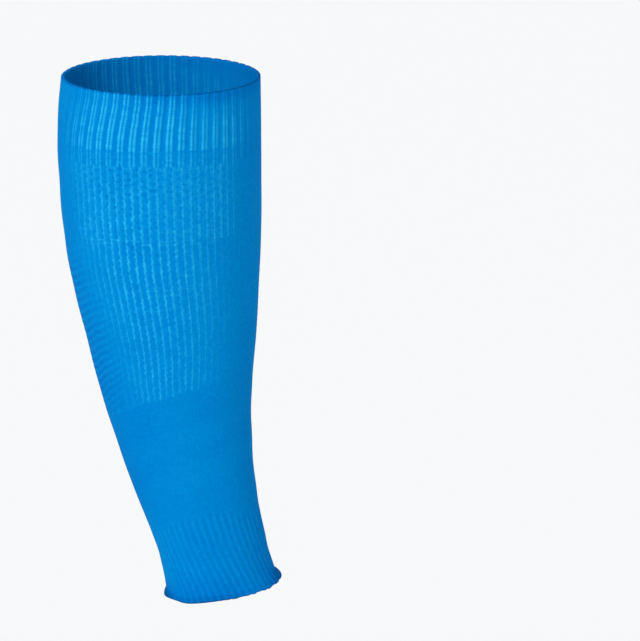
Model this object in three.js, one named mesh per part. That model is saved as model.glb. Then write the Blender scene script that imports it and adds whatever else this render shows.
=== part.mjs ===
// Calf compression sleeve: a knitted tube for the lower leg, open at the knee and at the ankle.
// Millimetres, +Z up. The origin is the centre of the knee opening, the calf is towards -X and the shin
// towards +X. The tube keeps the form that the leg gives it: full at the calf, narrow and leaning at the ankle.

import * as THREE from 'three';

// Length of each knit section, down the front of the leg
const kneeCuffLength = 33.5;
const upperCalfLength = 55;
const lowerCalfLength = 98;
const shankLength = 73;
const ankleCuffLength = 52;
const ankleHemLength = 5.5;

// Outside of the tube: width runs from calf to shin, depth from one side of the leg to the other
const calfWidth = 120.5;
const calfDepth = 116;
const ankleWidth = 67.2;
const ankleDepth = 59.5;
const ankleLean = 35.6;

// Courses, the rows of stitches, tilt with the ankle and sag round the calf. Wales, the files of stitches,
// turn a little round the shank. Angles are in degrees.
const courseTilt = 17;
const calfSag = 9;
const waleTurn = 14;

// Knit walls: the knee cuff is two layers, and the hem is a rolled edge
const cuffWall = 2.2;
const calfWall = 1.2;
const ankleWall = 1.5;
const hemWall = 2.6;
const sectionGap = 0.3;

// Ribs and columns raised on the outer face
const kneeRibs = 52;
const calfColumns = 76;
const ankleRibs = 48;
const kneeRibRelief = 0.9;
const columnRelief = 0.4;
const ankleRibRelief = 0.6;
const rimSlant = 1.8;
const rimSlantSpread = 2.2;

// Rolled hem, which curls out at the shin
const hemBulge = 0.8;
const shinCurl = 2.4;
const hemScallop = 0.5;

// Steps of the mesh
const kneeCuffRows = 3;
const upperCalfRows = 2;
const lowerCalfRows = 4;
const shankRows = 4;
const ankleCuffRows = 3;
const ankleHemRows = 2;
const shankFacets = 76;

const knitColour = 0x0090dc;
const hemColour = 0x0078c4;
const knitRoughness = 0.8;

// Where each section starts, as a drop down the front of the leg
const upperCalfStart = kneeCuffLength;
const lowerCalfStart = upperCalfStart + upperCalfLength;
const shankStart = lowerCalfStart + lowerCalfLength;
const ankleCuffStart = shankStart + shankLength;
const ankleHemStart = ankleCuffStart + ankleCuffLength;
const sleeveLength = ankleHemStart + ankleHemLength;

// Form of the leg by height. at: share of the sleeve's length. fullness: 0 at the ankle's width and depth,
// 1 at the calf's. lean: share of the ankle's lean towards the shin.
const legForm = [
  { at: 0.00, fullness: 0.95, lean: 0.00 },
  { at: 0.10, fullness: 1.00, lean: -0.03 },
  { at: 0.20, fullness: 0.99, lean: -0.02 },
  { at: 0.30, fullness: 0.94, lean: 0.01 },
  { at: 0.40, fullness: 0.82, lean: 0.06 },
  { at: 0.50, fullness: 0.65, lean: 0.14 },
  { at: 0.60, fullness: 0.46, lean: 0.21 },
  { at: 0.70, fullness: 0.28, lean: 0.34 },
  { at: 0.80, fullness: 0.13, lean: 0.52 },
  { at: 0.90, fullness: 0.01, lean: 0.76 },
  { at: 0.95, fullness: 0.00, lean: 0.88 },
  { at: 1.00, fullness: 0.05, lean: 1.00 },
];

// Lie of the stitches. at: share of the sleeve's length, down the front of the leg. tilt, sag and turn: shares
// of the course's tilt, the calf's sag and the wales' turn.
const stitchLie = [
  { at: 0.000, tilt: 0.00, sag: 0.00, turn: 0.00 },
  { at: 0.108, tilt: 0.00, sag: 0.35, turn: 0.00 },
  { at: 0.286, tilt: 0.03, sag: 0.60, turn: 0.00 },
  { at: 0.597, tilt: 0.90, sag: 0.95, turn: 0.00 },
  { at: 0.832, tilt: 1.00, sag: 0.70, turn: -1.00 },
  { at: 1.000, tilt: 0.47, sag: 0.00, turn: -0.15 },
];

function slopeAtRow(table, column, row) {
  const before = table[Math.max(row - 1, 0)];
  const after = table[Math.min(row + 1, table.length - 1)];
  return (after[column] - before[column]) / (after.at - before.at);
}

// Value of a table's column at a share of the length, on a smooth curve through its rows
function readTable(table, column, share) {
  const at = THREE.MathUtils.clamp(share, 0, 1);
  const row = table.findIndex((_, n) => n === table.length - 2 || table[n + 1].at > at);
  const low = table[row];
  const high = table[row + 1];
  const fromLow = low[column] + (at - low.at) * slopeAtRow(table, column, row);
  const fromHigh = high[column] + (at - high.at) * slopeAtRow(table, column, row + 1);
  return THREE.MathUtils.lerp(fromLow, fromHigh, THREE.MathUtils.smoothstep(at, low.at, high.at));
}

// Half width, half depth and centre of the tube's outer face at a height
function legAt(z) {
  const share = -z / sleeveLength;
  const fullness = readTable(legForm, 'fullness', share);
  return {
    halfWidth: THREE.MathUtils.lerp(ankleWidth, calfWidth, fullness) / 2,
    halfDepth: THREE.MathUtils.lerp(ankleDepth, calfDepth, fullness) / 2,
    centre: ankleLean * readTable(legForm, 'lean', share),
  };
}

// Height of a course, which is named by its drop down the front, at an angle round the leg.
// The angle is 0 on the front face, towards -Y, and grows towards the shin.
function courseHeight(drop, angle) {
  const share = drop / sleeveLength;
  const tilt = THREE.MathUtils.degToRad(courseTilt * readTable(stitchLie, 'tilt', share));
  const sag = calfSag * readTable(stitchLie, 'sag', share);
  const rise = legAt(-drop).halfWidth * Math.tan(tilt) * Math.sin(angle);
  const towardsCalf = Math.max(0, -Math.sin(angle));
  return -drop + rise - sag * towardsCalf ** 2.5;
}

// Place on the leg of a stitch: its course's drop, its angle round the leg and its height off the outer face
function placeStitch({ drop, angle, proud }) {
  const turn = THREE.MathUtils.degToRad(waleTurn * readTable(stitchLie, 'turn', drop / sleeveLength));
  const z = courseHeight(drop, angle + turn);
  const leg = legAt(z);
  return new THREE.Vector3(
    leg.centre + (leg.halfWidth + proud) * Math.sin(angle + turn),
    -(leg.halfDepth + proud) * Math.cos(angle + turn),
    z,
  );
}

// Closed outline of a section's wall, down the outer face and back up the inner one.
// A turned edge is rounded by a point at the middle of the wall, and a plain one stands half a gap back.
function wallOutline({ start, length, wall, rows, turnedTop = false, turnedBottom = false }) {
  const rounding = wall / 3;
  const end = start + length;
  const top = start + (turnedTop ? rounding : sectionGap / 2);
  const bottom = end - (turnedBottom ? rounding : sectionGap / 2);
  const drops = Array.from({ length: rows + 1 }, (_, n) => THREE.MathUtils.lerp(top, bottom, n / rows));
  const outline = drops.map((drop) => ({ proud: 0, drop }));
  if (turnedBottom) {
    outline.push({ proud: -wall / 2, drop: end });
  }
  outline.push(...drops.reverse().map((drop) => ({ proud: -wall, drop })));
  if (turnedTop) {
    outline.push({ proud: -wall / 2, drop: start });
  }
  outline.push(outline[0]);
  return outline;
}

// One knit section: a ring turned from its wall's outline, shaped stitch by stitch and laid on the leg
function knitSection({ name, outline, facets, shape, colour }) {
  const spindle = calfWidth;
  const turned = outline.map(({ proud, drop }) => new THREE.Vector2(spindle + proud, -drop)).reverse();
  const geometry = new THREE.LatheGeometry(turned, facets);
  const position = geometry.getAttribute('position');
  const vertex = new THREE.Vector3();
  for (let n = 0; n < position.count; n += 1) {
    vertex.fromBufferAttribute(position, n);
    const stitch = {
      drop: -vertex.y,
      angle: Math.atan2(vertex.x, vertex.z),
      proud: Math.hypot(vertex.x, vertex.z) - spindle,
    };
    const placed = placeStitch(shape(stitch));
    position.setXYZ(n, placed.x, placed.y, placed.z);
  }
  geometry.computeVertexNormals();
  const material = new THREE.MeshStandardMaterial({ color: colour, roughness: knitRoughness, metalness: 0 });
  const mesh = new THREE.Mesh(geometry, material);
  mesh.name = name;
  return mesh;
}

function isOnOuterFace(stitch) {
  return stitch.proud > -calfWall / 4;
}

// Raises the outer face in waves round the leg, from valley to crest
function raiseRibs(stitch, ribs, relief) {
  if (!isOnOuterFace(stitch)) {
    return stitch;
  }
  const wave = (relief / 2) * Math.cos(ribs * stitch.angle);
  return { ...stitch, proud: stitch.proud + wave };
}

// Ribs of the knee cuff lean over at the rim and stand straight where the cuff is linked to the calf
function shapeKneeCuff(stitch) {
  const slant = rimSlant - rimSlantSpread * Math.sin(stitch.angle);
  const straightening = THREE.MathUtils.smoothstep(stitch.drop / kneeCuffLength, 0.15, 0.9);
  const lean = THREE.MathUtils.degToRad(slant * (1 - straightening));
  const ribbed = raiseRibs(stitch, kneeRibs, kneeRibRelief);
  return { ...ribbed, angle: stitch.angle + lean };
}

function shapeCalf(stitch) {
  return raiseRibs(stitch, calfColumns, columnRelief);
}

function shapeShank(stitch) {
  return stitch;
}

function shapeAnkleCuff(stitch) {
  return raiseRibs(stitch, ankleRibs, ankleRibRelief);
}

// The hem bulges where its edge is rolled, most of all at the shin, and its lower edge is lightly scalloped
function shapeAnkleHem(stitch) {
  const down = (stitch.drop - ankleHemStart) / ankleHemLength;
  const atShin = Math.max(0, Math.sin(stitch.angle)) ** 6;
  const roll = Math.sin(Math.PI * THREE.MathUtils.clamp(down, 0, 1));
  const bulge = isOnOuterFace(stitch) ? roll * (hemBulge + shinCurl * atShin) : 0;
  const scallop = down * (hemScallop / 2) * Math.cos(ankleRibs * stitch.angle);
  return { ...stitch, proud: stitch.proud + bulge, drop: stitch.drop + scallop };
}

const sleeve = new THREE.Group();

sleeve.add(knitSection({
  name: 'knee_cuff',
  outline: wallOutline({
    start: 0, length: kneeCuffLength, wall: cuffWall, rows: kneeCuffRows, turnedTop: true,
  }),
  facets: 2 * kneeRibs,
  shape: shapeKneeCuff,
  colour: knitColour,
}));

sleeve.add(knitSection({
  name: 'upper_calf',
  outline: wallOutline({
    start: upperCalfStart, length: upperCalfLength, wall: calfWall, rows: upperCalfRows,
  }),
  facets: 2 * calfColumns,
  shape: shapeCalf,
  colour: knitColour,
}));

sleeve.add(knitSection({
  name: 'lower_calf',
  outline: wallOutline({
    start: lowerCalfStart, length: lowerCalfLength, wall: calfWall, rows: lowerCalfRows,
  }),
  facets: 2 * calfColumns,
  shape: shapeCalf,
  colour: knitColour,
}));

sleeve.add(knitSection({
  name: 'shank',
  outline: wallOutline({ start: shankStart, length: shankLength, wall: calfWall, rows: shankRows }),
  facets: shankFacets,
  shape: shapeShank,
  colour: knitColour,
}));

sleeve.add(knitSection({
  name: 'ankle_cuff',
  outline: wallOutline({
    start: ankleCuffStart, length: ankleCuffLength, wall: ankleWall, rows: ankleCuffRows,
  }),
  facets: 2 * ankleRibs,
  shape: shapeAnkleCuff,
  colour: knitColour,
}));

sleeve.add(knitSection({
  name: 'ankle_hem',
  outline: wallOutline({
    start: ankleHemStart, length: ankleHemLength, wall: hemWall, rows: ankleHemRows, turnedBottom: true,
  }),
  facets: 2 * ankleRibs,
  shape: shapeAnkleHem,
  colour: hemColour,
}));

export default sleeve;
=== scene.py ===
"""Knitted calf compression sleeve: the stitches of each section, the studio and the camera.

Metres, in the frame of the solids: +Z up, the calf towards -X, the shin towards +X, and the knee opening's
centre at the origin. Every section is one closed wall of knit, laid on the same form of the leg as its
solid.
"""

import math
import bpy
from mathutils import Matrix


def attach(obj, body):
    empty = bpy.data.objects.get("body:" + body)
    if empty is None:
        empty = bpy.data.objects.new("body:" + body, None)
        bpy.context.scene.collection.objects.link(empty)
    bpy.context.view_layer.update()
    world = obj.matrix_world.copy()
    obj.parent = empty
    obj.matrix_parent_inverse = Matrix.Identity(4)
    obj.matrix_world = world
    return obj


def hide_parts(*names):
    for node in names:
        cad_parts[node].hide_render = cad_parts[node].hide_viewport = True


bl_info = {
    "name": "Calf compression sleeve",
    "version": (1, 0, 0),
    "blender": (4, 5, 0),
    "location": "View3D > Sidebar > Sleeve",
    "description": "Models the knit sections of a calf sleeve and a plain studio for it",
    "category": "Mesh",
}

import bmesh
import bpy
import numpy as np
from mathutils import Vector

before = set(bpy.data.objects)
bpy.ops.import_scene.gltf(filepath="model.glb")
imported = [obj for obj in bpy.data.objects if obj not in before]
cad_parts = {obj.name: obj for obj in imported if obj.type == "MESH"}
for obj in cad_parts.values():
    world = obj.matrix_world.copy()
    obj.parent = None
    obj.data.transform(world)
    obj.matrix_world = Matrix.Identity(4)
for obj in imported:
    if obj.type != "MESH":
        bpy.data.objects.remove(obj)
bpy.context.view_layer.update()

TURN = 2.0 * math.pi
MM = 0.001

# Form of the leg down the sleeve. at: share of the sleeve's length. fullness: 0 at the ankle's width and
# depth, 1 at the calf's. lean: share of the ankle's lean towards the shin.
LEG_FORM = {
    "at": (0.00, 0.10, 0.20, 0.30, 0.40, 0.50, 0.60, 0.70, 0.80, 0.90, 0.95, 1.00),
    "fullness": (0.95, 1.00, 0.99, 0.94, 0.82, 0.65, 0.46, 0.28, 0.13, 0.01, 0.00, 0.05),
    "lean": (0.00, -0.03, -0.02, 0.01, 0.06, 0.14, 0.21, 0.34, 0.52, 0.76, 0.88, 1.00),
}

# Lie of the stitches down the front of the leg. at: share of the sleeve's length, close to where the
# sections meet. tilt, sag and turn: shares of the course's tilt, the calf's sag and the wales' turn.
STITCH_LIE = {
    "at": (0.000, 0.108, 0.286, 0.597, 0.832, 1.000),
    "tilt": (0.00, 0.00, 0.03, 0.90, 1.00, 0.47),
    "sag": (0.00, 0.35, 0.60, 0.95, 0.70, 0.00),
    "turn": (0.00, 0.00, 0.00, 0.00, -1.00, -0.15),
}

# Edges of the mesh panel on the front of the leg, in degrees from the front face. at: share of the length.
# The back of the leg mirrors the front.
MESH_PANEL = {
    "at": (0.000, 0.286, 0.440, 0.600),
    "calf_edge": (-62.0, -55.0, -46.0, -36.0),
    "shin_edge": (51.0, 50.0, 48.0, 42.0),
}

# How far the rolled hem hangs down, in millimetres. at: place across the leg, from 0 at the calf to 1 at
# the shin.
HEM_EDGE = {
    "at": (0.00, 0.07, 0.17, 0.28, 0.42, 0.56, 0.66, 0.76, 0.88, 0.94, 1.00),
    "hang": (1.00, 0.10, 0.95, 0.75, 0.20, -0.05, 0.20, 0.15, 0.40, 0.90, 0.50),
}

# Place of plain knit between the valley's colour, 0, and the stretched yarn's, 1
PLAIN_TONE = 0.38


def length_property(name, description, millimetres):
    return bpy.props.FloatProperty(
        name=name, description=description, default=millimetres * MM, subtype="DISTANCE", unit="LENGTH"
    )


def angle_property(name, description, degrees):
    return bpy.props.FloatProperty(
        name=name, description=description, default=math.radians(degrees), subtype="ANGLE"
    )


def count_property(name, description, count):
    return bpy.props.IntProperty(name=name, description=description, default=count)


def colour_property(name, description, code):
    return bpy.props.FloatVectorProperty(
        name=name, description=description, default=linear(code), size=3, subtype="COLOR", min=0.0, max=1.0
    )


def linear(code):
    """Linear colour of an sRGB hex value."""
    parts = [int(code[n : n + 2], 16) / 255.0 for n in (1, 3, 5)]
    return tuple(p / 12.92 if p <= 0.04045 else ((p + 0.055) / 1.055) ** 2.4 for p in parts)


class SleeveForm(bpy.types.PropertyGroup):
    """Lengths of the knit sections and the form of the leg that they lie on."""

    knee_cuff: length_property("Knee cuff", "Length of the knee cuff", 33.5)
    upper_calf: length_property("Upper calf", "Length of the upper calf section", 55.0)
    lower_calf: length_property("Lower calf", "Length of the lower calf section", 98.0)
    shank: length_property("Shank", "Length of the shank section", 73.0)
    ankle_cuff: length_property("Ankle cuff", "Length of the ankle cuff", 52.0)
    ankle_hem: length_property("Ankle hem", "Height of the rolled hem", 5.5)
    calf_width: length_property("Calf width", "Widest, from calf to shin", 120.5)
    calf_depth: length_property("Calf depth", "Widest, from side to side", 116.0)
    ankle_width: length_property("Ankle width", "Narrowest, from calf to shin", 67.2)
    ankle_depth: length_property("Ankle depth", "Narrowest, from side to side", 59.5)
    ankle_lean: length_property("Ankle lean", "How far the ankle stands towards the shin", 35.6)
    calf_sag: length_property("Calf sag", "How far a course hangs down round the calf", 9.0)
    course_tilt: angle_property("Course tilt", "Tilt of the courses at the ankle", 17.0)
    wale_turn: angle_property("Wale turn", "Turn of the wales round the shank", 14.0)
    cuff_wall: length_property("Cuff wall", "Two layers of rib", 2.2)
    calf_wall: length_property("Calf wall", "One layer of mesh or plain knit", 1.2)
    ankle_wall: length_property("Ankle wall", "One layer of rib", 1.5)
    hem_wall: length_property("Hem wall", "Rolled edge", 2.6)


class SleeveKnit(bpy.types.PropertyGroup):
    """Counts and reliefs of the ribs, columns, ladders and stitches."""

    knee_ribs: count_property("Knee ribs", "Ribs round the knee cuff", 52)
    calf_columns: count_property("Columns", "Columns round the calf", 76)
    ankle_ribs: count_property("Ankle ribs", "Ribs round the ankle cuff", 48)
    wales: count_property("Wales", "Files of stitches round the leg", 208)
    course: length_property("Course", "Height of one row of stitches", 1.15)
    rib_relief: length_property("Knee rib relief", "Height of the knee cuff's wales", 0.75)
    column_relief: length_property("Column relief", "Height of the calf's columns", 0.5)
    ladder_relief: length_property("Ladder relief", "Height of the ladder ridges", 0.30)
    ladder_pitch: length_property("Ladder pitch", "From one ladder ridge to the next", 4.0)
    ladder_rise: length_property("Ladder rise", "How far the ladder ridges rise round the calf", 7.5)
    eyelet_pitch: length_property("Eyelet pitch", "From one eyelet to the next down a column", 4.4)
    zigzag_pitch: length_property("Zigzag pitch", "From one step of a line to the next", 3.9)
    ankle_relief: length_property("Ankle rib relief", "Height of the ankle cuff's ribs", 0.32)
    hem_bulge: length_property("Hem bulge", "How far the rolled hem stands out", 0.4)
    shin_curl: length_property("Shin curl", "How much further it stands out at the shin", 2.6)


class SleeveColours(bpy.types.PropertyGroup):
    """Dyed yarn and the studio."""

    # Lightest tone: partly the stretched yarn's own lighter colour, partly a painted highlight on crests
    # facing the light
    crest: colour_property("Stretched yarn", "Lightest, on the crests of the ribs", "#2AB4E4")
    yarn: colour_property("Yarn", "Plain knit", "#0083CA")
    slack: colour_property("Slack yarn", "Deeper, where the knit is least stretched", "#006CBD")
    # Deepest tone: partly the deeper yarn between the stitches, partly painted shade in eyelets, sunk
    # stitches and the hem's underside
    valley: colour_property("Valley", "Deepest, between the stitches", "#00528F")
    floor: colour_property("Floor", "Studio floor", "#FAFBFC")


def ramp(value, start, end):
    """0 before start, 1 after end and smooth between."""
    passed = np.clip((value - start) / (end - start), 0.0, 1.0)
    return passed * passed * (3.0 - 2.0 * passed)


def band(value, start, full, fading, end):
    """1 from full to fading, 0 before start and after end, and smooth between."""
    return ramp(value, start, full) * (1.0 - ramp(value, fading, end))


def mix(first, second, share):
    """First where the share is 0, and second where it is 1."""
    return first + share * (second - first)


def at_least(least, share):
    """The given least where the share is 0, and 1 where it is 1."""
    return least + (1.0 - least) * share


def ridge(distance, width):
    """Rounded ridge, 1 at its crest."""
    return np.exp(-((distance / width) ** 2))


def read_table(table, column, share):
    """Value of a table's column at each share of the length, on a smooth curve through its rows."""
    at = np.array(table["at"])
    value = np.array(table[column])
    slope = np.empty_like(value)
    slope[1:-1] = (value[2:] - value[:-2]) / (at[2:] - at[:-2])
    slope[0] = (value[1] - value[0]) / (at[1] - at[0])
    slope[-1] = (value[-1] - value[-2]) / (at[-1] - at[-2])
    share = np.clip(share, 0.0, 1.0)
    row = np.clip(np.searchsorted(at, share, side="right") - 1, 0, len(at) - 2)
    from_low = value[row] + (share - at[row]) * slope[row]
    from_high = value[row + 1] + (share - at[row + 1]) * slope[row + 1]
    blend = ramp(share, at[row], at[row + 1])
    return from_low * (1.0 - blend) + from_high * blend


def sleeve_length(form):
    return form.knee_cuff + form.upper_calf + form.lower_calf + form.shank + form.ankle_cuff + form.ankle_hem


def leg_at(form, height):
    """Half width, half depth and centre of the leg at each height."""
    share = -height / sleeve_length(form)
    fullness = read_table(LEG_FORM, "fullness", share)
    half_width = 0.5 * (form.ankle_width + fullness * (form.calf_width - form.ankle_width))
    half_depth = 0.5 * (form.ankle_depth + fullness * (form.calf_depth - form.ankle_depth))
    return half_width, half_depth, form.ankle_lean * read_table(LEG_FORM, "lean", share)


def lay_on_leg(form, drop, angle, proud):
    """Points of the stitches at each drop and angle, raised by proud from the sleeve's outer face."""
    share = drop / sleeve_length(form)
    angle = angle + form.wale_turn * read_table(STITCH_LIE, "turn", share)
    tilt = form.course_tilt * read_table(STITCH_LIE, "tilt", share)
    sag = form.calf_sag * read_table(STITCH_LIE, "sag", share)
    rise = leg_at(form, -drop)[0] * np.tan(tilt) * np.sin(angle)
    height = -drop + rise - sag * np.maximum(0.0, -np.sin(angle)) ** 2.5
    half_width, half_depth, centre = leg_at(form, height)
    across = centre + (half_width + proud) * np.sin(angle)
    along = -(half_depth + proud) * np.cos(angle)
    return np.column_stack((across, along, height))


def repeats(angle, count):
    """Place across each of the equal repeats round the leg, from -0.5 to 0.5, and the repeat's number."""
    turns = angle / TURN * count
    nearest = np.round(turns)
    return turns - nearest, nearest.astype(int) % count


def chance(number, seed):
    """Same random value, from -1 to 1, for each whole number of a seed."""
    values = 1024
    drawn = np.random.default_rng(seed).uniform(-1.0, 1.0, values)
    return drawn[number % values]


def waver(drop, number, seed, length):
    """Slow random wave down each file of stitches."""
    phase = TURN * chance(number, seed)
    long_wave = np.sin(TURN * drop / length + phase)
    short_wave = np.sin(TURN * drop / (0.43 * length) + 2.1 * phase)
    return 0.6 * long_wave + 0.4 * short_wave


def stitches(drop, pitch, file, seed):
    """Stitches down a file of knit, 1 at the middle of each, and a random value for every one of them."""
    place = drop / pitch + 0.5 * chance(file, seed)
    number = np.round(place).astype(int)
    rounded = 0.5 + 0.5 * np.cos(TURN * (place - number))
    # Files that lie side by side draw values that lie far apart
    step_to_next_file = 131
    return rounded, chance(number + step_to_next_file * file, seed + 100)


def front_angle(angle):
    """Degrees from the front face, -90 at the calf and 90 at the shin. The back mirrors the front."""
    return np.degrees(np.arctan2(np.sin(angle), np.abs(np.cos(angle))))


def panel_edges(form, drop):
    """Angles from the front face, in degrees, at which the mesh panel ends at the calf and at the shin."""
    share = drop / sleeve_length(form)
    return read_table(MESH_PANEL, "calf_edge", share), read_table(MESH_PANEL, "shin_edge", share)


def knee_rib(knit, angle, drop):
    """Height and lightness of a rib of two raised wales, whose stitches are uneven and catch the light."""
    across, rib = repeats(angle, knit.knee_ribs)
    rounded, uneven = stitches(drop, 1.35 * knit.course, rib, 13)
    across = across + 0.012 * waver(drop, rib, 11, 19 * MM) + 0.02 * uneven * rounded
    wale_place = 0.17
    wale_width = 0.08 + 0.02 * ramp(drop, 2 * MM, 12 * MM)
    left_wale = ridge(across + wale_place, wale_width)
    right_wale = (0.75 + 0.20 * chance(rib, 12)) * ridge(across - wale_place, wale_width)
    pair = (left_wale + right_wale) * at_least(0.78, rounded)
    body = 1.0 - ramp(np.abs(across), 0.24, 0.36)
    lively = 0.86 + 0.20 * waver(drop, rib, 14, 11 * MM) + 0.30 * uneven * rounded
    valley = (1.0 - body) * chance(rib, 17)
    return 0.35 * body + 0.65 * pair, pair * lively - 0.05 * valley


def side_fade(angle):
    """How much the ribs show: less towards the calf and the shin, where their relief is flatter and their
    painted highlight fades.
    """
    face = front_angle(angle)
    lost_to_shin = 0.44 * ramp(face, 6.0, 32.0) + 0.56 * ramp(face, 42.0, 66.0)
    return ramp(face, -77.0, -31.0) * (1.0 - lost_to_shin)


def rib_growth(face, drop):
    """How far the knee ribs have grown below the rim: soonest in the middle of the front."""
    middle = band(face, -72.0, -38.0, 4.0, 36.0)
    at_rim = 0.15 + 0.65 * middle
    return mix(at_rim, 1.0, ramp(drop, 3 * MM, 22 * MM))


def knee_ribs_knit(form, knit, angle, drop):
    """Knee ribs, which grow below the rim and are weaker under the link to the calf."""
    body, light = knee_rib(knit, angle, drop)
    shown = side_fade(angle)
    face = front_angle(angle)
    grown = rib_growth(face, drop)
    link = form.knee_cuff + 0.6 * MM * chance(repeats(angle, knit.knee_ribs)[1], 16)
    above = 1.0 - ramp(drop - link, -0.8 * MM, 0.6 * MM)
    height = knit.rib_relief * (body - 0.45) * at_least(0.4, shown) * at_least(0.6, above)
    strength = grown * at_least(0.12, shown) * at_least(0.56, above)
    evened = 0.16 * (1.0 - shown) * band(face, 0.0, 30.0, 34.0, 60.0) * grown * at_least(0.4, above)
    # Painted shade in a thin dark line just below the link
    painted_shade_below_link = 0.08 * body * shown * ridge(drop - link - 0.9 * MM, 0.5 * MM)
    between_wales = 0.34
    return height, between_wales + 0.84 * light * strength + evened - painted_shade_below_link


def knee_cuff_knit(form, knit, angle, drop):
    """Ribs all down the cuff, with painted shade along the fold at the rim and under it, and a painted
    highlight near the rim at the calf.
    """
    height, tone = knee_ribs_knit(form, knit, angle, drop)
    face = front_angle(angle)
    # Painted shade along the rim's fold and under the rim, and a painted highlight near the rim at the calf
    # side
    fold = 1.0 - ramp(drop, 0.3 * MM, 1.1 * MM)
    painted_shade_under_rim = (1.0 - ramp(drop, 2 * MM, 10 * MM)) * ramp(face, -35.0, 5.0)
    at_calf = (1.0 - ramp(drop, 10 * MM, 26 * MM)) * (1.0 - ramp(face, -72.0, -55.0))
    return height, tone - 0.20 * fold - 0.12 * painted_shade_under_rim + 0.06 * at_calf


def knee_cuff_lie(form, knit, angle, drop):
    """The ribs lean over below the rim, which they notch a little, and stand straight at the link."""
    slant = np.radians(1.9 - 2.9 * np.sin(angle))
    # The lean is full in the first eighth of the cuff and gone just above the link
    share = np.clip(drop / form.knee_cuff / 0.80 - 0.16, 0.0, 1.0)
    lean = slant * (1.0 - 0.7 * share - 0.3 * ramp(share, 0.0, 1.0))
    across, rib = repeats(angle, knit.knee_ribs)
    notch = ramp(np.abs(across), 0.26, 0.40) * (0.7 + 0.3 * chance(rib, 15))
    notch_depth = 0.32 * MM
    return lean, notch_depth * notch * (1.0 - ramp(drop, 0.0, 5 * MM))


def down_hem(form, drop):
    """Share of the rolled hem's height, 0 at its top and 1 at its edge."""
    start = sleeve_length(form) - form.ankle_hem
    return np.clip((drop - start) / form.ankle_hem, 0.0, 1.0)


def hem_lie(form, knit, angle, drop):
    """The rolled edge hangs a little unevenly, with small kinks at its ribs."""
    across, rib = repeats(angle, knit.ankle_ribs)
    kink = 0.5 * chance(rib, 62) * (1.0 - ramp(np.abs(across), 0.2, 0.5)) * ramp(np.sin(angle), -0.2, 0.4)
    hang = read_table(HEM_EDGE, "hang", 0.5 + 0.5 * np.sin(angle))
    return 0.0, down_hem(form, drop) * MM * (hang + 0.9 * kink)


def no_lie(form, knit, angle, drop):
    """The stitches lie neither over to a side nor lower."""
    return 0.0, 0.0


def plain_knit(knit, angle):
    """Faint wales of plain knit."""
    across, wale = repeats(angle, knit.wales)
    crest = np.cos(TURN * across)
    relief = 0.03 * MM
    return relief * crest, PLAIN_TONE + 0.025 * crest * (1.0 + chance(wale, 21))


def grain(knit, angle, drop):
    """Random lightness of the single stitches in each file of plain knit."""
    wale = repeats(angle, knit.wales)[1]
    rounded, uneven = stitches(drop, 1.25 * knit.course, wale, 22)
    return rounded * uneven


def lit_side_contrast(angle, centre, gain):
    """How strongly the mesh's painted highlight and shade show: most round an angle a little towards the
    calf, facing the light.
    """
    spread = 22.0
    return 0.60 + gain * ridge(front_angle(angle) - centre, spread)


def eyelet_lines(knit, angle, drop, wave):
    """Distance from the nearest wavy line between the eyelets, and the line's number."""
    across, line = repeats(angle, knit.calf_columns)
    down = drop / knit.eyelet_pitch + 0.5 * (line % 2)
    across = across - wave * np.cos(TURN * down) + 0.02 * waver(drop, line, 31, 17 * MM)
    return across, line


def line_gaps(knit, angle):
    """Place across each of the gaps between the lines, and the gap's number."""
    return repeats(angle - math.pi / knit.calf_columns, knit.calf_columns)


def eyelets(knit, angle, drop, shift):
    """Depth of the eyelets, which lie in every second place down each gap."""
    across, gap = line_gaps(knit, angle)
    down = drop / knit.eyelet_pitch + 0.5 * ((gap + 1) % 2)
    nearest = np.round(down)
    number = gap + knit.calf_columns * nearest.astype(int)
    across = across - shift + 0.15 * chance(number, 32)
    down = down - nearest + 0.16 * chance(number, 33)
    hole = ridge(across, 0.16 - 0.22 * shift) * ridge(down, 0.15)
    return hole * ramp(chance(number, 34), -2.0, 0.7)


def float_rows(knit, angle, drop, places, seed, share):
    """Short floats of yarn across a share of the gaps between the lines, in rows at the given drops."""
    gap = line_gaps(knit, angle)[1]
    height = 0.45 * MM
    total = np.zeros_like(drop)
    for number, place in enumerate(places):
        # Each row draws values of its own
        present = chance(gap + 97 * number, seed) > 1.0 - 2.0 * share
        lift = 0.4 * MM * chance(gap + 61 * number, seed + 1)
        total = total + present * ridge(drop - place - lift, height)
    return total


def sunk_stitch_shade(across, rounded, uneven):
    """Specks of painted shade beside a line, where a stitch sinks in."""
    beside = 0.30
    return np.maximum(0.0, -uneven) * rounded * ridge(across + beside, 0.13)


def eyelet_mesh(form, knit, angle, drop):
    """Height and lightness of the wavy lines, the eyelets between them and the floats below."""
    down = drop - form.knee_cuff
    wave = 0.09 - 0.04 * ramp(down, 22 * MM, 34 * MM)
    across, line = eyelet_lines(knit, angle, drop, wave)
    rounded, uneven = stitches(drop, 1.4 * knit.course, line, 35)
    raised = ridge(across + 0.02 * uneven * rounded, 0.15)
    grown = at_least(0.60, ramp(down, 16 * MM, 34 * MM))
    lively = 0.82 + 0.36 * waver(drop, line, 36, 13 * MM) + 0.48 * uneven * rounded
    light = raised * lively * grown * at_least(0.62, rounded)
    specks = sunk_stitch_shade(across, rounded, uneven)
    openness = 1.0 - 0.55 * ramp(down, 22 * MM, 38 * MM)
    hole = openness * eyelets(knit, angle, drop, 0.22 * ramp(down, 24 * MM, 36 * MM))
    places = [form.knee_cuff + place * MM for place in (48.6, 54.0)]
    floats = float_rows(knit, angle, drop, places, 37, 0.50)
    height = 0.75 * knit.column_relief * (grown * raised - hole) + 0.08 * MM * floats
    # Lines and floats are lighter, partly from stretched yarn and partly as painted highlight; eyelets and
    # sunk stitches are painted shade
    return height, 0.43 * light - 0.26 * hole - 0.30 * specks + 0.15 * floats


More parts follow.
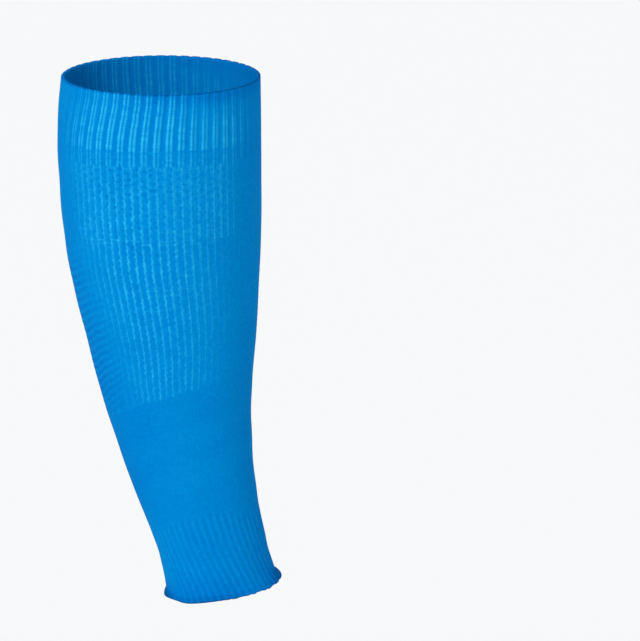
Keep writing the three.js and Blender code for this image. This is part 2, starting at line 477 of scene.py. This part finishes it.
def last_ribs(form, knit, angle, drop):
    """The knee ribs below the link, with a faint wale in each valley and patchy stitches."""
    height, tone = knee_ribs_knit(form, knit, angle, drop)
    shown = side_fade(angle)
    across, valley = repeats(angle + math.pi / knit.knee_ribs, knit.knee_ribs)
    valley_wale = ridge(across, 0.09) * (1.0 + chance(valley, 38)) * shown
    file = repeats(angle, 4 * knit.knee_ribs)[1]
    stitch, patchy = stitches(drop, 1.7 * knit.course, file, 39)
    tone = tone + 0.06 * valley_wale + 0.09 * patchy * stitch * shown
    return height + 0.05 * MM * valley_wale, tone


def upper_calf_knit(form, knit, angle, drop):
    """Ribs that end below the cuff, then wavy lines with eyelets between them, smooth at the sides."""
    down = drop - form.knee_cuff
    ribbed = 1.0 - ramp(down, 8.6 * MM, 10.2 * MM)
    plain_height, plain_tone = plain_knit(knit, angle)
    rib_height, rib_tone = last_ribs(form, knit, angle, drop)
    height = mix(plain_height, rib_height, ribbed)
    tone = mix(plain_tone, rib_tone, ribbed)

    calf_edge, shin_edge = panel_edges(form, drop)
    face = front_angle(angle)
    panel = band(face, calf_edge - 8.0, calf_edge + 14.0, shin_edge - 14.0, shin_edge + 5.0)
    meshed = panel * (1.0 - ribbed)
    mesh_height, light = eyelet_mesh(form, knit, angle, drop)
    stretched = lit_side_contrast(angle, -19.0, 0.50)
    evened = 0.04 + 0.07 * (1.0 - stretched)
    height = height + meshed * mesh_height
    # Painted light: the mesh's painted highlight and shade are strongest on the side facing the light, and
    # evened out away from it
    tone = tone + meshed * (evened + stretched * light) + 0.06 * grain(knit, angle, drop)
    first_stitches = (0.5 + 0.5 * np.cos(2.0 * knit.calf_columns * angle)) ** 2
    first_row = ridge(down - 10.6 * MM, 0.6 * MM) * first_stitches
    return height, tone + 0.14 * panel * first_row


def zigzag_columns(form, knit, angle, drop):
    """Height and lightness of the lines that jog to the side as they go down, and of the floats."""
    start = form.knee_cuff + form.upper_calf
    across, line = repeats(angle, knit.calf_columns)
    down = drop / knit.zigzag_pitch + 0.37 * line + 0.25 * chance(line, 41)
    step = down - np.round(down)
    rounded, uneven = stitches(drop, 1.35 * knit.course, line, 43)
    across = across - 0.15 * step + 0.03 * waver(drop, line, 42, 23 * MM) + 0.02 * uneven * rounded
    raised = ridge(across, 0.14)
    jog = ridge(np.abs(step) - 0.5, 0.14)
    lively = 0.85 + 0.36 * waver(drop, line, 44, 21 * MM) + 0.36 * uneven * rounded
    light = raised * lively * (0.53 + 0.18 * rounded + 0.38 * jog)
    specks = sunk_stitch_shade(across, rounded, uneven)
    places = [start + place * MM for place in (21.0, 29.5, 33.0, 41.5, 55.0, 66.0)]
    floats = float_rows(knit, angle, drop, places, 45, 0.3)
    floats = floats + 1.5 * float_rows(knit, angle, drop, [start + 1.1 * MM], 47, 0.45)
    height = 0.75 * knit.column_relief * raised + 0.08 * MM * floats
    # Lines and floats are lighter, partly from stretched yarn and partly as painted highlight; sunk stitches
    # are painted shade
    return height, 0.56 * light - 0.27 * specks + 0.11 * floats


def ladder_ridges(form, knit, angle, drop):
    """Ridges that rise round the calf, with fainter ones at the shin, and where the calf's own lie."""
    start = form.knee_cuff + form.upper_calf
    end = start + form.lower_calf
    calf_edge, shin_edge = panel_edges(form, drop)
    face = front_angle(angle)
    calf_side = (1.0 - ramp(face, calf_edge - 26.0, calf_edge + 20.0)) * ramp(drop - start, 0.0, 22 * MM)
    shin_side = ramp(face, shin_edge + 6.0, shin_edge + 16.0) * ramp(drop - start, 20 * MM, 40 * MM)
    ridge_width = 0.22
    rise = (drop + knit.ladder_rise * (face + 90.0) / 40.0) / knit.ladder_pitch + 0.07 * np.sin(0.3 * face)
    calf_rung = ridge(rise - np.round(rise), ridge_width)
    shin_rung = ridge((drop / knit.ladder_pitch + 0.5) % 1.0 - 0.5, ridge_width)
    weaker = 1.0 - 0.45 * ramp(drop - end, -26 * MM, -4 * MM)
    return weaker * (calf_side * (calf_rung - 0.5) + 0.30 * shin_side * (shin_rung - 0.5)), calf_side


def lower_calf_knit(form, knit, angle, drop):
    """Zigzag lines on the front and back, ladder ridges at the calf, and fainter ones at the shin."""
    start = form.knee_cuff + form.upper_calf
    end = start + form.lower_calf
    calf_edge, shin_edge = panel_edges(form, drop)
    face = front_angle(angle)
    panel = ramp(face, calf_edge - 12.0, calf_edge + 26.0)
    panel = panel * (1.0 - 0.92 * ramp(face, shin_edge - 34.0, shin_edge))
    line = repeats(angle, knit.calf_columns)[1]
    before_end = 1.0 - ramp(drop - end, -2.6 * MM + 2.0 * MM * chance(line, 46), -0.2 * MM)
    fading = 1.0 - 0.38 * ramp(drop - start, 20 * MM, 80 * MM)
    columns = panel * before_end * fading

    height, tone = plain_knit(knit, angle)
    column_height, light = zigzag_columns(form, knit, angle, drop)
    stretched = lit_side_contrast(angle, -12.0, 0.58)
    evened = 0.01 + 0.10 * (1.0 - stretched)
    height = height + columns * column_height
    # Painted light: the columns' painted highlight and shade are strongest on the side facing the light, and
    # evened out away from it
    tone = tone + columns * (evened + stretched * light) + 0.06 * before_end * grain(knit, angle, drop)

    ladders, calf_side = ladder_ridges(form, knit, angle, drop)
    flatter = at_least(0.25, ramp(face, -90.0, -70.0))
    height = height + before_end * flatter * knit.ladder_relief * ladders
    # Painted highlight and shade of the ladder ridges, whose relief is flattened at the calf, and painted
    # shade over the calf side
    return height, tone + before_end * (0.17 * ladders - 0.05 * calf_side)


def tone_below_calf(form, angle, drop):
    """Tone of the plain knit: painted shade on the calf side of the shank, and a painted highlight there at
    the ankle.
    """
    ankle = sleeve_length(form) - form.ankle_hem - form.ankle_cuff
    to_calf = -np.sin(angle)
    painted_highlight_at_calf_end = ramp(to_calf, 0.80, 1.0) * ridge(drop - ankle - 4 * MM, 9 * MM)
    # Painted shade on the calf side of the shank, and a painted highlight on the calf side of the ankle
    shank_tone = 0.365 - 0.05 * ramp(to_calf, -0.3, 0.8)
    ankle_tone = 0.335 + 0.050 * ramp(to_calf, 0.55, 0.85) + 0.10 * painted_highlight_at_calf_end
    return mix(shank_tone, ankle_tone, ramp(drop - ankle, -30 * MM, 8 * MM))


def shank_knit(form, knit, angle, drop):
    """Plain knit, with a few wales that show and faint bands where its courses lie tighter."""
    start = form.knee_cuff + form.upper_calf + form.lower_calf
    down = (drop - start) / form.shank
    height, tone = plain_knit(knit, angle)
    across, wale = repeats(angle, knit.wales)
    shown = np.maximum(0.0, waver(drop, wale, 61, 37 * MM)) * (1.0 - ramp(down, 0.55, 0.85))
    tight_bands = np.sin(TURN * 2.9 * down + 0.9) * band(down, 0.05, 0.3, 0.85, 1.0)
    tone = tone - PLAIN_TONE + tone_below_calf(form, angle, drop)
    return height, tone + 0.08 * shown * np.cos(TURN * across) + 0.014 * tight_bands


def deeper_to_edge(form, angle, drop):
    """How much deeper the ankle's tone is towards its edge, where it is least stretched."""
    from_edge = drop - sleeve_length(form) + form.ankle_hem
    to_shin = np.sin(angle)
    near_edge = ramp(from_edge, -16 * MM, 0.0)
    all_round = 0.015 * ramp(from_edge, -45 * MM, -25 * MM)
    off_shin = 0.08 * near_edge * (1.0 - ramp(to_shin, 0.2, 0.6))
    at_calf = 0.13 * ramp(-to_shin, 0.7, 1.0) * ramp(from_edge, -13 * MM, 0.0)
    at_shin = 0.11 * ramp(to_shin, 0.7, 1.0) * near_edge
    return all_round + off_shin + at_calf + at_shin


def ankle_ribs_knit(form, knit, angle, drop):
    """Soft ribs of the ankle, which fade towards the calf and start late at the shin."""
    down = drop - sleeve_length(form) + form.ankle_hem + form.ankle_cuff
    across, rib = repeats(angle, knit.ankle_ribs)
    soft = ridge(across + 0.04 * waver(drop, rib, 51, 30 * MM), 0.26)
    late = 12 * MM * ramp(np.sin(angle), 0.55, 0.95)
    started = ramp(down - late, 0.5 * MM + 1.5 * MM * chance(rib, 52), 8.0 * MM)
    shown = started * (1.0 - 0.80 * ramp(-np.sin(angle), 0.50, 0.84))
    strength = 1.0 + 0.35 * waver(drop, rib, 54, 27 * MM)
    height = shown * knit.ankle_relief * (soft - 0.4)
    tone = tone_below_calf(form, angle, drop) - deeper_to_edge(form, angle, drop)
    return height, tone + 0.10 * shown * strength * (soft - 0.35)


def ankle_hem_knit(form, knit, angle, drop):
    """Rolled edge, standing out most at the shin and a little at the calf."""
    down = down_hem(form, drop)
    height, tone = ankle_ribs_knit(form, knit, angle, drop)
    at_shin = np.maximum(0.0, np.sin(angle)) ** 12
    at_calf = np.maximum(0.0, -np.sin(angle)) ** 6
    roll = knit.hem_bulge * np.sin(math.pi * down) ** 0.7
    curled = np.clip((down - 0.15) / 0.85, 0.0, 1.0)
    curl = knit.shin_curl * at_shin * np.sin(math.pi * curled) ** 0.6
    flare = 1.4 * MM * at_calf * down
    # Painted shade under the roll and where it curls at the shin and flares at the calf; the roll is painted
    # lighter towards the shin
    under = 0.10 * ramp(down, 0.0, 0.5) + 0.18 * ramp(down, 0.70, 0.95)
    lit_roll = 0.12 * ramp(np.sin(angle), 0.1, 0.7) * down
    painted_shade_at_ends = 0.13 * at_calf + 0.16 * at_shin * ramp(down, 0.0, 0.2)
    return height * (1.0 - at_shin) + roll + curl + flare, tone - under + lit_roll - painted_shade_at_ends


def wall_rows(start, end, wall, outer_rows, inner_rows, turned_top=False, turned_bottom=False):
    """Drop and depth of each row of a wall: down its outer face, round its edge and up its inner face."""
    # A cut end stands a hair inside its section, and a turned one leaves room for its round edge
    hair = 0.01 * MM
    radius = 0.5 * wall
    room = 0.7 * radius
    top = start + (room if turned_top else hair)
    bottom = end - (room if turned_bottom else hair)
    edge_rows = 5
    bend = np.linspace(0.0, math.pi, edge_rows + 2)[1:-1]
    drop = [np.linspace(top, bottom, outer_rows + 1)]
    depth = [np.zeros(outer_rows + 1)]
    if turned_bottom:
        drop.append(bottom + (end - bottom) * np.sin(bend))
        depth.append(radius * (np.cos(bend) - 1.0))
    drop.append(np.linspace(bottom, top, inner_rows + 1))
    depth.append(np.full(inner_rows + 1, -wall))
    if turned_top:
        drop.append(top - (top - start) * np.sin(bend))
        depth.append(radius * (-np.cos(bend) - 1.0))
    drop.append([top])
    depth.append([0.0])
    return np.concatenate(drop), np.concatenate(depth)


def flat_grid(name, facets, row_count):
    """A flat grid, one unit wide and high, with a chart to be filled in."""
    grid = bmesh.new()
    grid.loops.layers.uv.new("Knit")
    bmesh.ops.create_grid(grid, x_segments=facets, y_segments=row_count, size=0.5, calc_uvs=True)
    mesh = bpy.data.meshes.new(name)
    grid.to_mesh(mesh)
    grid.free()
    return mesh


def knit_wall(name, rows, facets, form, knit, pattern, lie):
    """One closed wall of knit, made from a grid that is wrapped round the leg and over its own edges."""
    row_drop, row_depth = rows
    row_count = len(row_drop) - 1
    mesh = flat_grid(name, facets, row_count)
    flat = np.empty(3 * len(mesh.vertices))
    mesh.vertices.foreach_get("co", flat)
    flat = flat.reshape(-1, 3)
    angle = TURN * flat[:, 0]
    row = np.rint((flat[:, 1] + 0.5) * row_count).astype(int)
    drop = row_drop[row]
    relief, tone = pattern(form, knit, angle, drop)

    depth = row_depth[row]
    wall = -row_depth.min()
    through = -2.0 * depth / wall
    outside = np.clip(1.0 - through, 0.0, 1.0)
    inside = np.clip(through - 1.0, 0.0, 1.0)
    inner_relief = 0.25
    proud = depth + relief * (outside - inner_relief * inside)
    turned, lowered = lie(form, knit, angle, drop)
    placed = lay_on_leg(form, drop + lowered, angle + turned, proud)
    mesh.vertices.foreach_set("co", placed.ravel())
    chart_knit(mesh, flat[:, 0] + 0.5, drop / sleeve_length(form))

    inner_tone = 0.34
    tone = np.clip(mix(tone, inner_tone, 0.55 * inside), 0.0, 1.0)
    mesh.attributes.new("tone", "FLOAT", "POINT").data.foreach_set("value", tone)
    mark_corners(mesh, row, row_depth)
    close_wall(mesh)
    piece = bpy.data.objects.new(name, mesh)
    bpy.context.collection.objects.link(piece)
    return piece


def chart_knit(mesh, turns, share):
    """Chart of the knit: turns round the leg, and share of the sleeve's length down it."""
    corner = np.empty(len(mesh.loops), dtype=np.int32)
    mesh.loops.foreach_get("vertex_index", corner)
    chart = np.column_stack((turns[corner], share[corner]))
    mesh.uv_layers["Knit"].uv.foreach_set("vector", chart.ravel())


def mark_corners(mesh, row, row_depth):
    """Keep a crisp edge where a face of the wall meets its cut end, so that the knit shades evenly to it."""
    depth_step = np.abs(np.diff(row_depth))
    square = np.flatnonzero(depth_step > 0.9 * -row_depth.min())
    first_row = [0] if len(square) and square[-1] == len(depth_step) - 1 else []
    corner_rows = np.concatenate((square, square + 1, first_row))
    ends = np.empty(2 * len(mesh.edges), dtype=np.int32)
    mesh.edges.foreach_get("vertices", ends)
    ends = row[ends].reshape(-1, 2)
    sharp = (ends[:, 0] == ends[:, 1]) & np.isin(ends[:, 0], corner_rows)
    mesh.attributes.new("sharp_edge", "BOOLEAN", "EDGE").data.foreach_set("value", sharp)


def close_wall(mesh):
    """Weld the grid's edges to each other and turn its faces outwards."""
    shape = bmesh.new()
    shape.from_mesh(mesh)
    bmesh.ops.remove_doubles(shape, verts=shape.verts, dist=0.001 * MM)
    bmesh.ops.recalc_face_normals(shape, faces=shape.faces)
    for face in shape.faces:
        face.smooth = True
    shape.to_mesh(mesh)
    shape.free()


def add_node(tree, kind, inputs, **settings):
    """Add a node with its settings, and link or set its inputs."""
    node = tree.nodes.new(kind)
    for name, value in settings.items():
        setattr(node, name, value)
    for socket, value in inputs.items():
        if isinstance(value, bpy.types.NodeSocket):
            tree.links.new(value, node.inputs[socket])
        else:
            node.inputs[socket].default_value = value
    return node


def new_material(name):
    material = bpy.data.materials.new(name)
    material.use_nodes = True
    material.node_tree.nodes.clear()
    return material, material.node_tree


def knit_material(colours, knit, form):
    """Nylon and elastane knit: matt, dyed through, lighter over a crest from the stretched yarn and a
    painted highlight.
    """
    name = "nylon_elastane_knit"
    if name in bpy.data.materials:
        return bpy.data.materials[name]
    material, tree = new_material(name)
    tone = add_node(tree, "ShaderNodeAttribute", {}, attribute_name="tone").outputs["Fac"]
    place = add_node(tree, "ShaderNodeTexCoord", {}).outputs["Object"]

    # Yarn is uneven by a few per cent over 2 mm, and the dye over some centimetres
    yarn_patch = 20 * MM / 9
    dye_patch = 40 * MM
    yarn = add_node(tree, "ShaderNodeTexNoise", {"Vector": place, "Scale": 1.0 / yarn_patch, "Detail": 3.0})
    dye = add_node(tree, "ShaderNodeTexNoise", {"Vector": place, "Scale": 1.0 / dye_patch, "Detail": 2.0})
    uneven = add_node(
        tree, "ShaderNodeMath", {0: yarn.outputs["Fac"], 1: 0.20, 2: -0.10}, operation="MULTIPLY_ADD"
    )
    patchy = add_node(
        tree, "ShaderNodeMath", {0: dye.outputs["Fac"], 1: 0.10, 2: -0.05}, operation="MULTIPLY_ADD"
    )
    mottle = add_node(tree, "ShaderNodeMath", {0: uneven.outputs[0], 1: patchy.outputs[0]}, operation="ADD")
    shade = add_node(tree, "ShaderNodeMath", {0: tone, 1: mottle.outputs[0]}, operation="ADD")
    # The tone holds painted light as well as the knit's colour: painted highlight on crests, painted shade
    # in hollows, under the rim and under the hem's roll
    ramp_node = add_node(tree, "ShaderNodeValToRGB", {0: shade.outputs[0]})
    steps = ramp_node.color_ramp
    steps.elements[0].color = (*colours.valley, 1.0)
    steps.elements[1].color = (*colours.crest, 1.0)
    steps.elements.new(0.20).color = (*colours.slack, 1.0)
    steps.elements.new(0.42).color = (*colours.yarn, 1.0)

    height = stitch_height(tree, knit, form)
    bump = add_node(tree, "ShaderNodeBump", {"Height": height, "Distance": 0.25 * MM, "Strength": 0.5})
    surface = add_node(
        tree,
        "ShaderNodeBsdfPrincipled",
        {
            "Base Color": ramp_node.outputs["Color"],
            "Roughness": 0.9,
            "Specular IOR Level": 0.015,
            "Specular Tint": (0.1, 0.6, 1.0, 1.0),
            "Sheen Weight": 0.02,
            "Sheen Roughness": 0.5,
            "Sheen Tint": (0.0, 0.45, 1.0, 1.0),
            "Normal": bump.outputs["Normal"],
        },
    )
    add_node(tree, "ShaderNodeOutputMaterial", {"Surface": surface.outputs["BSDF"]})
    return material


def stitch_height(tree, knit, form):
    """Height of the V-shaped stitches: wales round the leg, courses down it, legs rising to the sides."""
    chart = add_node(tree, "ShaderNodeUVMap", {}, uv_map="Knit").outputs["UV"]
    split = add_node(tree, "ShaderNodeSeparateXYZ", {0: chart})
    wales = float(knit.wales)
    wale = add_node(tree, "ShaderNodeMath", {0: split.outputs["X"], 1: wales}, operation="MULTIPLY")
    across = add_node(tree, "ShaderNodeMath", {0: wale.outputs[0]}, operation="FRACT")
    centred = add_node(tree, "ShaderNodeMath", {0: across.outputs[0], 1: 0.5}, operation="SUBTRACT")
    side = add_node(tree, "ShaderNodeMath", {0: centred.outputs[0]}, operation="ABSOLUTE")
    courses = sleeve_length(form) / knit.course
    course = add_node(tree, "ShaderNodeMath", {0: split.outputs["Y"], 1: courses}, operation="MULTIPLY")
    steepness = 1.2
    leaning = add_node(
        tree,
        "ShaderNodeMath",
        {0: side.outputs[0], 1: steepness, 2: course.outputs[0]},
        operation="MULTIPLY_ADD",
    )
    phase = add_node(tree, "ShaderNodeMath", {0: leaning.outputs[0], 1: TURN}, operation="MULTIPLY")
    legs = add_node(tree, "ShaderNodeMath", {0: phase.outputs[0]}, operation="SINE")
    gap = add_node(tree, "ShaderNodeMath", {0: side.outputs[0], 1: -2.0, 2: 1.0}, operation="MULTIPLY_ADD")
    leg_share = 0.35
    height = add_node(
        tree,
        "ShaderNodeMath",
        {0: legs.outputs[0], 1: leg_share, 2: gap.outputs[0]},
        operation="MULTIPLY_ADD",
    )
    return height.outputs[0]


def dress(piece, node, material):
    """Give a piece its material and let it stand for its solid."""
    piece.data.materials.clear()
    piece.data.materials.append(material)
    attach(piece, "root")
    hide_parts(node)


class KnitOperator(bpy.types.Operator):
    """What every section of the sleeve shares: its place down the leg, its wall and its dressing."""

    bl_options = {"REGISTER", "UNDO"}

    def knit_section(self, node, rows, facets, pattern, lie=no_lie, slot="knit"):
        form = bpy.context.scene.sleeve_form
        knit = bpy.context.scene.sleeve_knit
        material = knit_material(bpy.context.scene.sleeve_colours, knit, form)
        piece = knit_wall(f"{node}_knit", rows, facets, form, knit, pattern, lie)
        dress(piece, node, material)


class SLEEVE_OT_knee_cuff(KnitOperator):
    """Model the double rib cuff at the knee"""

    bl_idname = "sleeve.knee_cuff"
    bl_label = "Knee cuff"

    def execute(self, context):
        form = context.scene.sleeve_form
        facets_a_rib = 16
        facets = facets_a_rib * context.scene.sleeve_knit.knee_ribs
        rows = wall_rows(
            0.0, form.knee_cuff, form.cuff_wall, outer_rows=90, inner_rows=14, turned_top=True
        )
        self.knit_section("knee_cuff", rows, facets, knee_cuff_knit, knee_cuff_lie)
        return {"FINISHED"}


class SLEEVE_OT_upper_calf(KnitOperator):
    """Model the fading ribs and the eyelet mesh below the knee cuff"""

    bl_idname = "sleeve.upper_calf"
    bl_label = "Upper calf"

    def execute(self, context):
        form = context.scene.sleeve_form
        facets_a_column = 10
        facets = facets_a_column * context.scene.sleeve_knit.calf_columns
        start = form.knee_cuff
        end = start + form.upper_calf
        rows = wall_rows(start, end, form.calf_wall, outer_rows=118, inner_rows=8)
        self.knit_section("upper_calf", rows, facets, upper_calf_knit)
        return {"FINISHED"}


class SLEEVE_OT_lower_calf(KnitOperator):
    """Model the zigzag columns and the ladder ridges of the lower calf"""

    bl_idname = "sleeve.lower_calf"
    bl_label = "Lower calf"

    def execute(self, context):
        form = context.scene.sleeve_form
        facets_a_column = 8
        facets = facets_a_column * context.scene.sleeve_knit.calf_columns
        start = form.knee_cuff + form.upper_calf
        end = start + form.lower_calf
        rows = wall_rows(start, end, form.calf_wall, outer_rows=150, inner_rows=8)
        self.knit_section("lower_calf", rows, facets, lower_calf_knit)
        return {"FINISHED"}


class SLEEVE_OT_shank(KnitOperator):
    """Model the plain knit of the shank"""

    bl_idname = "sleeve.shank"
    bl_label = "Shank"

    def execute(self, context):
        form = context.scene.sleeve_form
        facets_a_wale = 3
        facets = facets_a_wale * context.scene.sleeve_knit.wales
        start = form.knee_cuff + form.upper_calf + form.lower_calf
        end = start + form.shank
        rows = wall_rows(start, end, form.calf_wall, outer_rows=74, inner_rows=12)
        self.knit_section("shank", rows, facets, shank_knit)
        return {"FINISHED"}


class SLEEVE_OT_ankle_cuff(KnitOperator):
    """Model the soft ribs at the ankle"""

    bl_idname = "sleeve.ankle_cuff"
    bl_label = "Ankle cuff"

    def execute(self, context):
        form = context.scene.sleeve_form
        facets_a_rib = 10
        facets = facets_a_rib * context.scene.sleeve_knit.ankle_ribs
        end = sleeve_length(form) - form.ankle_hem
        start = end - form.ankle_cuff
        rows = wall_rows(start, end, form.ankle_wall, outer_rows=150, inner_rows=12)
        self.knit_section("ankle_cuff", rows, facets, ankle_ribs_knit)
        return {"FINISHED"}


class SLEEVE_OT_ankle_hem(KnitOperator):
    """Model the rolled hem at the ankle"""

    bl_idname = "sleeve.ankle_hem"
    bl_label = "Ankle hem"

    def execute(self, context):
        form = context.scene.sleeve_form
        facets_a_rib = 10
        facets = facets_a_rib * context.scene.sleeve_knit.ankle_ribs
        end = sleeve_length(form)
        start = end - form.ankle_hem
        rows = wall_rows(start, end, form.hem_wall, outer_rows=20, inner_rows=10, turned_bottom=True)
        self.knit_section("ankle_hem", rows, facets, ankle_hem_knit, hem_lie, slot="hem")
        return {"FINISHED"}


class SLEEVE_OT_studio(bpy.types.Operator):
    """Set the pale floor, the soft light and the camera"""

    bl_idname = "sleeve.studio"
    bl_label = "Studio"
    bl_options = {"REGISTER", "UNDO"}

    def execute(self, context):
        scene = context.scene
        make_floor(scene.sleeve_colours)
        make_light(scene)
        make_camera(scene)
        scene.view_settings.view_transform = "Standard"
        return {"FINISHED"}


def make_floor(colours):
    """A wide pale floor, well below the sleeve, which is held up as a leg holds it."""
    size = 24.0
    height = -0.9
    shape = bmesh.new()
    bmesh.ops.create_grid(shape, x_segments=1, y_segments=1, size=0.5 * size)
    bmesh.ops.translate(shape, verts=shape.verts, vec=(0.0, 0.0, height))
    mesh = bpy.data.meshes.new("studio_floor")
    shape.to_mesh(mesh)
    shape.free()
    material, tree = new_material("matt_floor_paint")
    surface = add_node(
        tree, "ShaderNodeBsdfPrincipled", {"Base Color": (*colours.floor, 1.0), "Roughness": 0.9}
    )
    add_node(tree, "ShaderNodeOutputMaterial", {"Surface": surface.outputs["BSDF"]})
    mesh.materials.append(material)
    floor = bpy.data.objects.new("studio_floor", mesh)
    bpy.context.collection.objects.link(floor)


def make_light(scene):
    """Even white light from all round, and one broad soft light from the front left."""
    world = bpy.data.worlds.new("studio_air")
    world.use_nodes = True
    world.node_tree.nodes.clear()
    white = (1.0, 1.0, 1.0, 1.0)
    air = add_node(world.node_tree, "ShaderNodeBackground", {"Color": white, "Strength": 0.69})
    add_node(world.node_tree, "ShaderNodeOutputWorld", {"Surface": air.outputs["Background"]})
    scene.world = world
    lamp = bpy.data.lights.new("soft_key", "SUN")
    lamp.energy = 1.75
    lamp.angle = math.radians(25.0)
    key = bpy.data.objects.new("soft_key", lamp)
    shining_from = Vector((-0.8, -1.4, 1.0))
    key.rotation_euler = shining_from.to_track_quat("Z", "Y").to_euler()
    bpy.context.collection.objects.link(key)


def make_camera(scene):
    """Looks at the middle of the sleeve from the front and a little above."""
    aim = Vector((0.0941, 0.0, -0.1505))
    distance = 3.0
    elevation = math.radians(15.0)
    frame_width = 0.384
    sensor = 36.0
    lens = bpy.data.cameras.new("camera")
    lens.sensor_width = sensor
    lens.lens = sensor * distance / frame_width
    lens.clip_end = 50.0
    camera = bpy.data.objects.new("camera", lens)
    away = Vector((0.0, -math.cos(elevation), math.sin(elevation)))
    camera.location = aim + distance * away
    camera.rotation_euler = away.to_track_quat("Z", "Y").to_euler()
    bpy.context.collection.objects.link(camera)
    scene.camera = camera


class SLEEVE_PT_sidebar(bpy.types.Panel):
    """Lists the sizes, the colours and the steps"""

    bl_idname = "SLEEVE_PT_sidebar"
    bl_label = "Calf sleeve"
    bl_space_type = "VIEW_3D"
    bl_region_type = "UI"
    bl_category = "Sleeve"

    def draw(self, context):
        for group in (context.scene.sleeve_form, context.scene.sleeve_knit, context.scene.sleeve_colours):
            for name in group.__annotations__:
                self.layout.prop(group, name)
        for step in STEPS:
            self.layout.operator(step.bl_idname)


GROUPS = {"sleeve_form": SleeveForm, "sleeve_knit": SleeveKnit, "sleeve_colours": SleeveColours}
STEPS = (
    SLEEVE_OT_studio,
    SLEEVE_OT_knee_cuff,
    SLEEVE_OT_upper_calf,
    SLEEVE_OT_lower_calf,
    SLEEVE_OT_shank,
    SLEEVE_OT_ankle_cuff,
    SLEEVE_OT_ankle_hem,
)


def register():
    for group in GROUPS.values():
        bpy.utils.register_class(group)
    for step in STEPS:
        bpy.utils.register_class(step)
    bpy.utils.register_class(SLEEVE_PT_sidebar)
    for name, group in GROUPS.items():
        setattr(bpy.types.Scene, name, bpy.props.PointerProperty(type=group))


def unregister():
    for name in GROUPS:
        delattr(bpy.types.Scene, name)
    bpy.utils.unregister_class(SLEEVE_PT_sidebar)
    for step in reversed(STEPS):
        bpy.utils.unregister_class(step)
    for group in GROUPS.values():
        bpy.utils.unregister_class(group)


def main():
    register()
    for step in STEPS:
        category, name = step.bl_idname.split(".")
        getattr(getattr(bpy.ops, category), name)()


if __name__ == "__main__":
    main()
